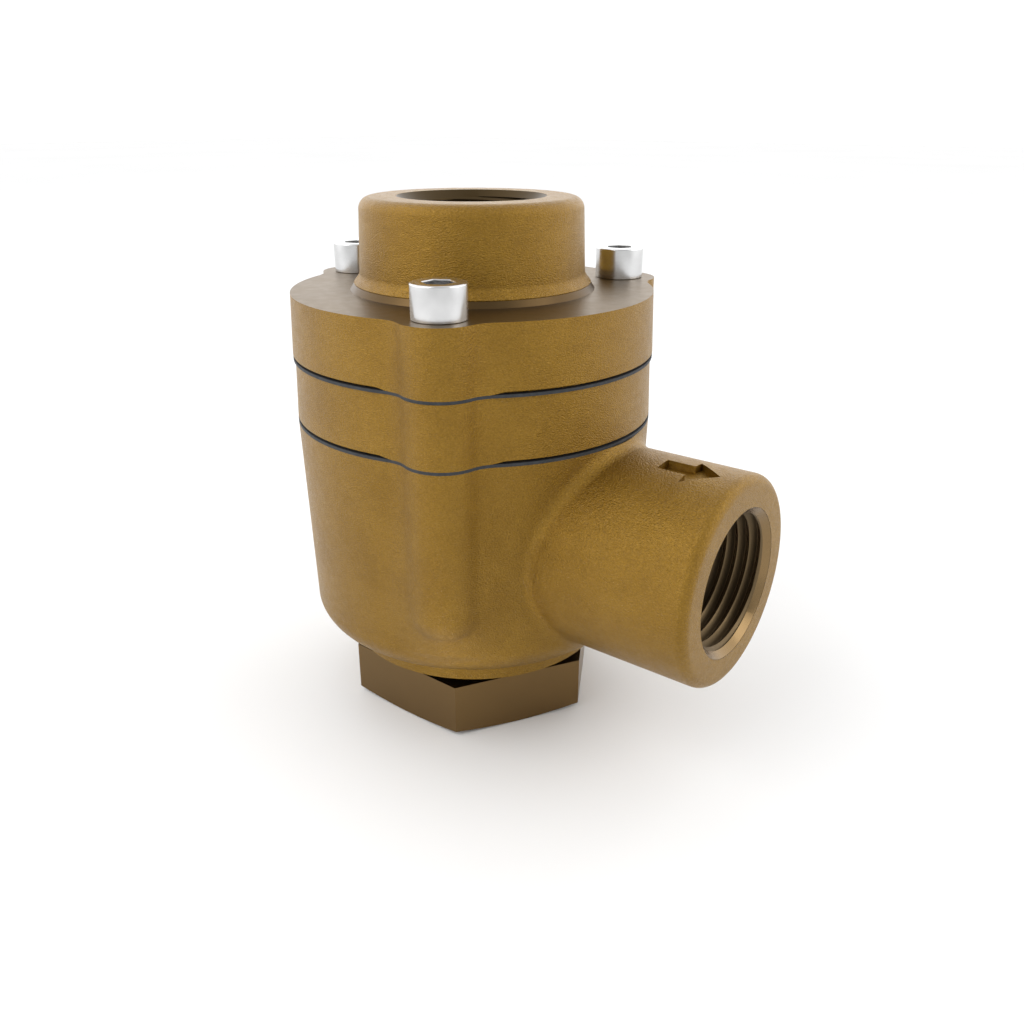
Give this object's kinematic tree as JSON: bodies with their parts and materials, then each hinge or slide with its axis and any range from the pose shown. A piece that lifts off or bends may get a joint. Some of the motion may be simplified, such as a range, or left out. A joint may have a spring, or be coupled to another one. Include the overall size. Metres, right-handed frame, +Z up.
{
  "type": "steam trap",
  "caption": "Cast bronze thermostatic steam trap: threaded inlet on top, threaded side outlet, bolted cover and middle ring, hexagon bottom plug.",
  "frame": {"origin": "centre of the hexagon plug's flat bottom face", "axes": "+Z up the body axis to the inlet, +X out through the side outlet, +Y completes a right-handed frame"},
  "size_m": [0.0966, 0.0684, 0.0996],
  "materials": {
    "cast_bronze": "sand-cast bronze, fine grain, satin",
    "machined_bronze": "machined bronze, smooth satin",
    "stainless": "turned stainless steel, bright",
    "thin_steel": "pressed stainless sheet, satin",
    "copper": "soft copper, dull",
    "gasket": "dark graphite jointing sheet, matt"
  },
  "bodies": {
    "housing": {"body": "cast_bronze", "middle_ring": "cast_bronze", "inlet_cover": "cast_bronze", "upper_gasket": "gasket", "lower_gasket": "gasket", "cap_screw_1": "stainless", "cap_screw_2": "stainless", "cap_screw_3": "stainless", "bottom_plug": "machined_bronze", "plug_gasket": "gasket", "strainer_disc": "thin_steel", "strainer_snap_ring": "thin_steel", "element_carrier": "machined_bronze", "capsule_stud": "stainless", "lock_washer": "thin_steel", "lock_nut": "stainless", "thermostatic_capsule": "thin_steel", "valve_seat": "stainless", "seat_washer": "copper", "seat_plate": "machined_bronze"},
    "valve": {"valve_head": "stainless"}
  },
  "joints": [
    {"name": "valve_stroke", "type": "slide", "parent": "housing", "child": "valve", "axis": [0, 0, -1], "range_m": [0, 0.0016], "deforming": ["thermostatic_capsule"]}
  ]
}
